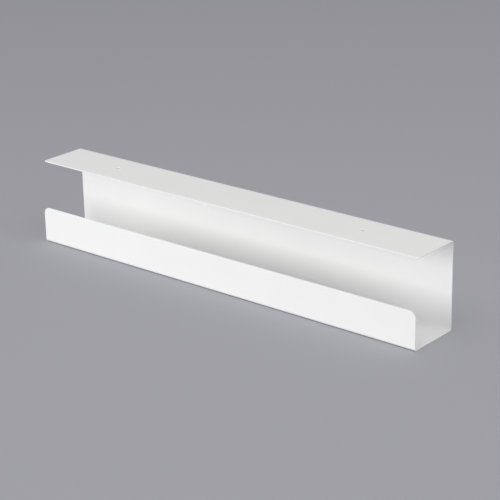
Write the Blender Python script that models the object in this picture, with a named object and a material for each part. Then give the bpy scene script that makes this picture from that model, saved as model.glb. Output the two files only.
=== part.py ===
"""Under-desk cable tray: one blank of sheet steel with three folds.

Seen from its end the tray is a C with a short front: a mounting flange on top, a back wall, a floor
and a low front lip. Two round screw holes go through the flange. Metres, +Z up, +X along the tray,
the lip at -Y and the back wall at +Y. The origin is on the flange's upper face, midway between the
two screw holes: this face lies against the underside of the desk.
"""

import math

import bmesh
import bpy
from mathutils import Matrix, Vector

# Driving dimensions, all of them outside sizes.
LENGTH = 0.640  # along X
DEPTH = 0.080  # from the lip's face to the back wall's face
HEIGHT = 0.120  # from the floor's underside to the flange's upper face
LIP_HEIGHT = 0.052
FLANGE_DEPTH = 0.075  # 5 mm less than the floor, so the lip stands a little proud of the flange
SHEET = 0.0015  # 1.5 mm steel
FOLD_INSIDE_RADIUS = 0.0020
LIP_CORNER_RADIUS = 0.010
FLANGE_CORNER_RADIUS = 0.004
HOLE_DIAMETER = 0.006
HOLE_SPACING = 0.420
EDGE_RADIUS = 0.0003  # the cut edges, deburred and softened by the coating

# Worked out from them.
FOLD_RADIUS = FOLD_INSIDE_RADIUS + SHEET
BACK_Y = FLANGE_DEPTH / 2  # the holes are on the flange's centre line, which is Y = 0
FLANGE_FRONT_Y = BACK_Y - FLANGE_DEPTH
LIP_Y = BACK_Y - DEPTH
FLOOR_Z = -HEIGHT

# Facets.
FOLD_SEGMENTS = 10
CORNER_SEGMENTS = 12
HOLE_SEGMENTS = 32
EDGE_SEGMENTS = 2
SHARP_ANGLE = math.radians(35)  # only turns above this are cut edges

COAT_COLOUR = (0.86, 0.86, 0.86, 1.0)
COAT_ROUGHNESS = 0.5


def clear_scene():
    for obj in list(bpy.data.objects):
        bpy.data.objects.remove(obj)


def link(name, mesh):
    obj = bpy.data.objects.new(name, mesh)
    bpy.context.scene.collection.objects.link(obj)
    return obj


def powder_coat():
    """White powder coat with a fine matt texture."""
    material = bpy.data.materials.new("white_powder_coat")
    material.use_nodes = True
    shader = material.node_tree.nodes["Principled BSDF"]
    shader.inputs["Base Color"].default_value = COAT_COLOUR
    shader.inputs["Roughness"].default_value = COAT_ROUGHNESS
    shader.inputs["Metallic"].default_value = 0.0
    return material


def folded_outside():
    """The sheet's outer face as a mesh without thickness: four flats, sharp at the folds."""
    section = [
        (FLANGE_FRONT_Y, 0.0),
        (BACK_Y, 0.0),
        (BACK_Y, FLOOR_Z),
        (LIP_Y, FLOOR_Z),
        (LIP_Y, FLOOR_Z + LIP_HEIGHT),
    ]
    bm = bmesh.new()
    points = [bm.verts.new((-LENGTH / 2, y, z)) for y, z in section]
    edges = [bm.edges.new(pair) for pair in zip(points, points[1:])]
    swept = bmesh.ops.extrude_edge_only(bm, edges=edges)["geom"]
    new_points = [item for item in swept if isinstance(item, bmesh.types.BMVert)]
    bmesh.ops.translate(bm, verts=new_points, vec=Vector((LENGTH, 0.0, 0.0)))
    return bm


def face_outwards(bm):
    """Turns the faces so that the upper face of the flange looks up and the lip looks forwards."""
    bm.faces.ensure_lookup_table()
    bmesh.ops.recalc_face_normals(bm, faces=bm.faces[:])
    flange = max(bm.faces, key=lambda face: face.calc_center_median().z)
    if flange.normal.z < 0:
        bmesh.ops.reverse_faces(bm, faces=bm.faces[:])


def round_folds(bm):
    """Each edge shared by two flats becomes an arc of the fold's outside radius."""
    folds = [edge for edge in bm.edges if len(edge.link_faces) == 2]
    bmesh.ops.bevel(
        bm,
        geom=folds,
        offset=FOLD_RADIUS,
        offset_type="OFFSET",
        segments=FOLD_SEGMENTS,
        profile=0.5,
        affect="EDGES",
    )


def round_corners(bm, height, radius):
    """Rounds the two free corners of the sheet at this height."""
    near = 1e-5
    corners = [
        vert
        for vert in bm.verts
        if abs(vert.co.z - height) < near
        and vert.co.y < BACK_Y - DEPTH / 2
        and abs(abs(vert.co.x) - LENGTH / 2) < near
    ]
    bmesh.ops.bevel(
        bm,
        geom=corners,
        offset=radius,
        offset_type="OFFSET",
        segments=CORNER_SEGMENTS,
        profile=0.5,
        affect="VERTICES",
    )


def hole_cutter():
    """Two upright cylinders, one at each screw hole."""
    bm = bmesh.new()
    for side in (-1, 1):
        place = Matrix.Translation((side * HOLE_SPACING / 2, 0.0, -SHEET / 2))
        bmesh.ops.create_cone(
            bm,
            cap_ends=True,
            segments=HOLE_SEGMENTS,
            radius1=HOLE_DIAMETER / 2,
            radius2=HOLE_DIAMETER / 2,
            depth=SHEET * 6,
            matrix=place,
        )
    mesh = bpy.data.meshes.new("hole_cutter")
    bm.to_mesh(mesh)
    bm.free()
    cutter = link("hole_cutter", mesh)
    cutter.hide_render = True
    cutter.display_type = "WIRE"
    return cutter


def make_tray():
    bm = folded_outside()
    face_outwards(bm)
    round_folds(bm)
    round_corners(bm, 0.0, FLANGE_CORNER_RADIUS)
    round_corners(bm, FLOOR_Z + LIP_HEIGHT, LIP_CORNER_RADIUS)
    mesh = bpy.data.meshes.new("tray")
    bm.to_mesh(mesh)
    bm.free()
    tray = link("tray", mesh)
    mesh.materials.append(powder_coat())

    thickness = tray.modifiers.new("sheet_thickness", "SOLIDIFY")
    thickness.thickness = SHEET
    thickness.offset = -1.0  # inwards, so the mesh stays the outside of the sheet
    thickness.use_even_offset = True

    holes = tray.modifiers.new("screw_holes", "BOOLEAN")
    holes.operation = "DIFFERENCE"
    holes.solver = "EXACT"
    holes.object = hole_cutter()

    edges = tray.modifiers.new("soft_cut_edges", "BEVEL")
    edges.width = EDGE_RADIUS
    edges.segments = EDGE_SEGMENTS
    edges.limit_method = "ANGLE"
    edges.angle_limit = SHARP_ANGLE

    mesh.shade_smooth()
    mesh.set_sharp_from_angle(angle=SHARP_ANGLE)
    return tray


clear_scene()
make_tray()
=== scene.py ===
"""How the cable tray looks: its fine mesh, its powder coat, and the studio around it.

Metres, +Z up, in the frame of the CAD model: the tray runs along X, its lip is at -Y, and the
upper face of its flange, which lies against the desk, is at Z = 0.
"""

import math

import bmesh
import bpy
from mathutils import Matrix, Vector


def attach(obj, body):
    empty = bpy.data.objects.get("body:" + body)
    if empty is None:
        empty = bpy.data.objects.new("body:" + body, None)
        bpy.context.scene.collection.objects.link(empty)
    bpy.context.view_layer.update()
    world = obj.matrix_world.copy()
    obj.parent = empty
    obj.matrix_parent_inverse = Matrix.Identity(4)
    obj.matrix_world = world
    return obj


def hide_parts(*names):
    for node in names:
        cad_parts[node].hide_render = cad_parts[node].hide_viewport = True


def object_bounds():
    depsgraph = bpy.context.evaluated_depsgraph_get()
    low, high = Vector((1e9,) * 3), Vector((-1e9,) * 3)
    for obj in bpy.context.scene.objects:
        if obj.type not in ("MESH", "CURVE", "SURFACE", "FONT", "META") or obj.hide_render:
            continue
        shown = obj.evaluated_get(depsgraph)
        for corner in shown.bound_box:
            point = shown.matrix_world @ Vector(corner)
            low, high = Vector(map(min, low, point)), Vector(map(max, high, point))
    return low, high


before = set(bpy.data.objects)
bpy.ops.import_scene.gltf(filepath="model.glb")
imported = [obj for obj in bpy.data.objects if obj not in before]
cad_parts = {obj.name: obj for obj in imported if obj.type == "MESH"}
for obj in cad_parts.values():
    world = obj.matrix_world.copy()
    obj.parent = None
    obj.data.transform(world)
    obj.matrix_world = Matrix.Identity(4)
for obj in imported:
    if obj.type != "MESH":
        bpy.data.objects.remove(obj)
cad_low, cad_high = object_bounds()
centre = (cad_low + cad_high) / 2

# The tray. Its outside comes from the CAD box, and the rest is here.
LIP_HEIGHT = 0.052
FLANGE_SETBACK = 0.005  # how far the flange's front edge lies behind the lip's face
SHEET = 0.0015
FOLD_INSIDE_RADIUS = 0.0020
LIP_CORNER_RADIUS = 0.010
FLANGE_CORNER_RADIUS = 0.004
HOLE_DIAMETER = 0.006
HOLE_SPACING = 0.420
EDGE_RADIUS = 0.00035
HOLE_RIM_RADIUS = 0.0007  # on top, where the coat runs over the punched edge
CUTTER_LENGTH = SHEET * 6

FOLD_SEGMENTS = 20
CORNER_SEGMENTS = 24
HOLE_SEGMENTS = 64
EDGE_SEGMENTS = 4
RIM_SEGMENTS = 8
SHARP_ANGLE = math.radians(35)  # only turns above this are cut edges
FACE_AREA_WEIGHT = 100  # of the weighted normals: 50 is neutral, and above it large faces count more
NEAR = 1e-5  # how far a vertex may lie from the line or plane it is looked for on

flange_front_y = cad_low.y + FLANGE_SETBACK
flange_middle_y = (flange_front_y + cad_high.y) / 2

# The powder coat. Scales are in waves per metre, depths in metres.
COAT_SHADES = (0.883, 0.897)
COAT_CLOUD_SCALE = 14.0
COAT_ROUGHNESS = (0.52, 0.62)
COAT_GLOSS_SCALE = 60.0
COAT_SPECULAR = 0.4
COAT_PEEL_SCALE = 380.0
COAT_PEEL_DEPTH = 0.00006
COAT_GRAIN_SCALE = 1700.0
COAT_GRAIN_DEPTH = 0.00004
NOISE_RANGE = (0.3, 0.7)  # where most of a noise texture's values lie

# The camera, which looks at a point near the tray's centre.
CAMERA_AZIMUTH = math.radians(40.11)  # 0 looks along +Y
CAMERA_ELEVATION = math.radians(20.80)
CAMERA_ROLL = math.radians(-1.19)
CAMERA_DISTANCE = 2.165
CAMERA_LENS = 118.2  # mm
SENSOR_WIDTH = 36.0  # mm
CAMERA_AIM = centre + Vector((0.0307, -0.0016, -0.0059))

FLOOR_SIZE = 60.0
FLOOR_GAP = 0.0002  # under the tray, so that the two faces don't lie in one plane
FLOOR_ROUGHNESS = 0.9
FLOOR_SPECULAR = 0.1
FLOOR_SHADE = (0.53, 0.53, 0.58, 1.0)
WORLD_STRENGTH = 0.468
PANEL_COLOUR = (1.0, 1.0, 0.985)  # a touch warm, against the blue that the floor throws on the tray

# Name, azimuth in degrees, distance, height of its middle above the floor, width, height, power.
# The standing panels light the tray only, so they leave no bright pools on the floor around it.
STANDING_PANELS = [
    ("front_panel", -8, 3.0, 0.82, 1.6, 1.6, 37),
    ("front_right_panel", 60, 3.0, 0.82, 1.6, 1.6, 12),
    ("left_panel", -80, 3.0, 0.32, 2.4, 0.6, 54),
    ("right_panel", 90, 3.0, 0.32, 2.2, 0.6, 8),
    ("rear_panel", 180, 3.0, 0.32, 2.2, 0.6, 32),
]
OVERHEAD_PANELS = [
    ("upper_front_panel", 0, 1.5, 2.6, 1.6, 1.6, 12),
    ("upper_right_panel", 90, 1.5, 2.6, 1.6, 1.6, 7),
]


# ---------------------------------------------------------------- the tray's mesh


def folded_outside():
    """The sheet's outer face as a mesh without thickness: four flats, sharp at the folds."""
    section = [
        (flange_front_y, cad_high.z),
        (cad_high.y, cad_high.z),
        (cad_high.y, cad_low.z),
        (cad_low.y, cad_low.z),
        (cad_low.y, cad_low.z + LIP_HEIGHT),
    ]
    bm = bmesh.new()
    points = [bm.verts.new((cad_low.x, y, z)) for y, z in section]
    edges = [bm.edges.new(pair) for pair in zip(points, points[1:])]
    swept = bmesh.ops.extrude_edge_only(bm, edges=edges)["geom"]
    new_points = [item for item in swept if isinstance(item, bmesh.types.BMVert)]
    bmesh.ops.translate(bm, verts=new_points, vec=Vector((cad_high.x - cad_low.x, 0.0, 0.0)))
    bmesh.ops.recalc_face_normals(bm, faces=bm.faces[:])
    flange = max(bm.faces, key=lambda face: face.calc_center_median().z)
    if flange.normal.z < 0:
        bmesh.ops.reverse_faces(bm, faces=bm.faces[:])
    return bm


def round_folds(bm):
    """Each edge shared by two flats becomes an arc of the fold's outside radius."""
    folds = [edge for edge in bm.edges if len(edge.link_faces) == 2]
    bmesh.ops.bevel(
        bm,
        geom=folds,
        offset=FOLD_INSIDE_RADIUS + SHEET,
        offset_type="OFFSET",
        segments=FOLD_SEGMENTS,
        profile=0.5,
        affect="EDGES",
    )


def round_corners(bm, height, radius):
    """Rounds the two free corners of the sheet at this height."""
    half_length = cad_high.x - centre.x
    corners = [
        vert
        for vert in bm.verts
        if abs(vert.co.z - height) < NEAR
        and vert.co.y < centre.y
        and abs(abs(vert.co.x - centre.x) - half_length) < NEAR
    ]
    bmesh.ops.bevel(
        bm,
        geom=corners,
        offset=radius,
        offset_type="OFFSET",
        segments=CORNER_SEGMENTS,
        profile=0.5,
        affect="VERTICES",
    )


def hole_cutter():
    """Two upright cylinders, one at each screw hole."""
    bm = bmesh.new()
    for side in (-1, 1):
        hole_x = centre.x + side * HOLE_SPACING / 2
        place = Matrix.Translation((hole_x, flange_middle_y, cad_high.z - SHEET / 2))
        bmesh.ops.create_cone(
            bm,
            cap_ends=True,
            segments=HOLE_SEGMENTS,
            radius1=HOLE_DIAMETER / 2,
            radius2=HOLE_DIAMETER / 2,
            depth=CUTTER_LENGTH,
            matrix=place,
        )
    mesh = bpy.data.meshes.new("hole_cutter")
    bm.to_mesh(mesh)
    bm.free()
    cutter = bpy.data.objects.new("hole_cutter", mesh)
    bpy.context.scene.collection.objects.link(cutter)
    return cutter


def on_hole_rim(point):
    """True for a point of the flange's upper face that lies on the edge of a screw hole."""
    reach = HOLE_DIAMETER / 2 + NEAR
    return (
        abs(point.z - cad_high.z) < NEAR
        and abs(abs(point.x - centre.x) - HOLE_SPACING / 2) < reach
        and abs(point.y - flange_middle_y) < reach
    )


def round_hole_rims(mesh):
    """Rounds the upper edge of both holes."""
    bm = bmesh.new()
    bm.from_mesh(mesh)
    rims = [
        edge
        for edge in bm.edges
        if all(on_hole_rim(vert.co) for vert in edge.verts) and edge.calc_face_angle(0.0) > SHARP_ANGLE
    ]
    bmesh.ops.bevel(
        bm,
        geom=rims,
        offset=HOLE_RIM_RADIUS,
        offset_type="OFFSET",
        segments=RIM_SEGMENTS,
        profile=0.5,
        affect="EDGES",
    )
    bm.to_mesh(mesh)
    bm.free()
    mesh.shade_smooth()


def apply_modifiers(tray):
    """Gives the tray the mesh that its modifiers make, and removes them."""
    bpy.context.view_layer.update()
    evaluated = tray.evaluated_get(bpy.context.evaluated_depsgraph_get())
    finished = bpy.data.meshes.new_from_object(evaluated)
    tray.modifiers.clear()
    tray.data = finished


def build_tray():
    """The folded sheet with its thickness, holes and softened edges, all applied to one mesh."""
    bm = folded_outside()
    round_folds(bm)
    round_corners(bm, cad_high.z, FLANGE_CORNER_RADIUS)
    round_corners(bm, cad_low.z + LIP_HEIGHT, LIP_CORNER_RADIUS)
    mesh = bpy.data.meshes.new("tray_sheet")
    bm.to_mesh(mesh)
    bm.free()
    mesh.shade_smooth()
    tray = bpy.data.objects.new("folded_sheet", mesh)
    bpy.context.scene.collection.objects.link(tray)

    thickness = tray.modifiers.new("thickness", "SOLIDIFY")
    thickness.thickness = SHEET
    thickness.offset = -1.0  # inwards, so the mesh stays the outside of the sheet
    thickness.use_even_offset = True

    cutter = hole_cutter()
    holes = tray.modifiers.new("holes", "BOOLEAN")
    holes.operation = "DIFFERENCE"
    holes.solver = "EXACT"
    holes.object = cutter
    apply_modifiers(tray)
    bpy.data.objects.remove(cutter)
    round_hole_rims(tray.data)

    edges = tray.modifiers.new("soft_edges", "BEVEL")
    edges.width = EDGE_RADIUS
    edges.segments = EDGE_SEGMENTS
    edges.limit_method = "ANGLE"
    edges.angle_limit = SHARP_ANGLE

    normals = tray.modifiers.new("normals", "WEIGHTED_NORMAL")
    normals.weight = FACE_AREA_WEIGHT
    normals.keep_sharp = True
    apply_modifiers(tray)
    return tray


# ---------------------------------------------------------------- materials


def noise(tree, place, scale, detail):
    """A noise texture's value at this place. The scale is in waves per metre."""
    texture = tree.nodes.new("ShaderNodeTexNoise")
    texture.inputs["Scale"].default_value = scale
    texture.inputs["Detail"].default_value = detail
    tree.links.new(place, texture.inputs["Vector"])
    return texture.outputs["Fac"]


def spread(tree, value, low, high):
    """Maps a noise value to the range low to high."""
    mapped = tree.nodes.new("ShaderNodeMapRange")
    mapped.inputs["From Min"].default_value = NOISE_RANGE[0]
    mapped.inputs["From Max"].default_value = NOISE_RANGE[1]
    mapped.inputs["To Min"].default_value = low
    mapped.inputs["To Max"].default_value = high
    tree.links.new(value, mapped.inputs["Value"])
    return mapped.outputs["Result"]


def bump(tree, height, depth, normal=None):
    """Raises the surface by up to this depth in metres, on top of an earlier bump's normal."""
    relief = tree.nodes.new("ShaderNodeBump")
    relief.inputs["Distance"].default_value = depth
    tree.links.new(height, relief.inputs["Height"])
    if normal:
        tree.links.new(normal, relief.inputs["Normal"])
    return relief.outputs["Normal"]


def powder_coat():
    """White powder coat: satin, with orange peel, a finer grain and slightly uneven gloss and shade."""
    material = bpy.data.materials.new("white_powder_coat")
    material.use_nodes = True
    tree = material.node_tree
    shader = tree.nodes["Principled BSDF"]
    place = tree.nodes.new("ShaderNodeTexCoord").outputs["Object"]

    shade = spread(tree, noise(tree, place, COAT_CLOUD_SCALE, detail=2.0), *COAT_SHADES)
    tree.links.new(shade, shader.inputs["Base Color"])
    gloss = spread(tree, noise(tree, place, COAT_GLOSS_SCALE, detail=4.0), *COAT_ROUGHNESS)
    tree.links.new(gloss, shader.inputs["Roughness"])
    shader.inputs["Specular IOR Level"].default_value = COAT_SPECULAR

    peel = bump(tree, noise(tree, place, COAT_PEEL_SCALE, detail=1.0), COAT_PEEL_DEPTH)
    grain = bump(tree, noise(tree, place, COAT_GRAIN_SCALE, detail=2.0), COAT_GRAIN_DEPTH, peel)
    tree.links.new(grain, shader.inputs["Normal"])
    return material


def floor_paint():
    """Plain matt light grey."""
    material = bpy.data.materials.new("floor_grey")
    material.use_nodes = True
    shader = material.node_tree.nodes["Principled BSDF"]
    shader.inputs["Base Color"].default_value = FLOOR_SHADE
    shader.inputs["Roughness"].default_value = FLOOR_ROUGHNESS
    shader.inputs["Specular IOR Level"].default_value = FLOOR_SPECULAR
    return material


# ---------------------------------------------------------------- the studio


def add_floor():
    """A large plane just under the tray."""
    bm = bmesh.new()
    bmesh.ops.create_grid(bm, x_segments=1, y_segments=1, size=FLOOR_SIZE / 2)
    mesh = bpy.data.meshes.new("studio_floor")
    bm.to_mesh(mesh)
    bm.free()
    mesh.materials.append(floor_paint())
    floor = bpy.data.objects.new("studio_floor", mesh)
    floor.location = (centre.x, centre.y, cad_low.z - FLOOR_GAP)
    bpy.context.scene.collection.objects.link(floor)
    return floor


def direction(azimuth, elevation):
    """From the tray towards something at this azimuth and elevation. Azimuth 0 is in front, at -Y."""
    flat = math.cos(elevation)
    return Vector((math.sin(azimuth) * flat, -math.cos(azimuth) * flat, math.sin(elevation)))


def add_panel(name, azimuth, distance, height, width, tall, power):
    """A softbox that faces the tray and isn't itself seen. Gives its light object."""
    flat = direction(math.radians(azimuth), 0.0) * distance
    place = Vector((centre.x + flat.x, centre.y + flat.y, cad_low.z + height))
    data = bpy.data.lights.new(name, "AREA")
    data.shape = "RECTANGLE"
    data.size = width
    data.size_y = tall
    data.energy = power
    data.color = PANEL_COLOUR
    light = bpy.data.objects.new(name, data)
    light.location = place
    light.rotation_mode = "QUATERNION"
    light.rotation_quaternion = (place - centre).to_track_quat("Z", "Y")
    light.visible_camera = False
    bpy.context.scene.collection.objects.link(light)
    return light


def add_camera():
    """The camera at the photograph's viewing angle."""
    data = bpy.data.cameras.new("camera")
    data.sensor_width = SENSOR_WIDTH
    data.lens = CAMERA_LENS
    back = direction(CAMERA_AZIMUTH, CAMERA_ELEVATION)
    turn = back.to_track_quat("Z", "Y").to_matrix() @ Matrix.Rotation(CAMERA_ROLL, 3, "Z")
    camera = bpy.data.objects.new("camera", data)
    camera.matrix_world = Matrix.Translation(CAMERA_AIM + back * CAMERA_DISTANCE) @ turn.to_4x4()
    bpy.context.scene.collection.objects.link(camera)
    bpy.context.scene.camera = camera


def add_world():
    """Even white light from all round."""
    world = bpy.data.worlds.new("studio")
    world.use_nodes = True
    background = world.node_tree.nodes["Background"]
    background.inputs["Color"].default_value = (1.0, 1.0, 1.0, 1.0)
    background.inputs["Strength"].default_value = WORLD_STRENGTH
    bpy.context.scene.world = world


add_camera()
add_world()
for panel in OVERHEAD_PANELS:
    add_panel(*panel)
bpy.context.scene.view_settings.view_transform = "Standard"

floor = add_floor()

tray = build_tray()
tray.data.materials.clear()
tray.data.materials.append(powder_coat())
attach(tray, "root")
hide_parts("tray")

# The standing panels' light falls on this collection only.
tray_only = bpy.data.collections.new("lit_by_standing_panels")
tray_only.objects.link(tray)
for panel in STANDING_PANELS:
    add_panel(*panel).light_linking.receiver_collection = tray_only
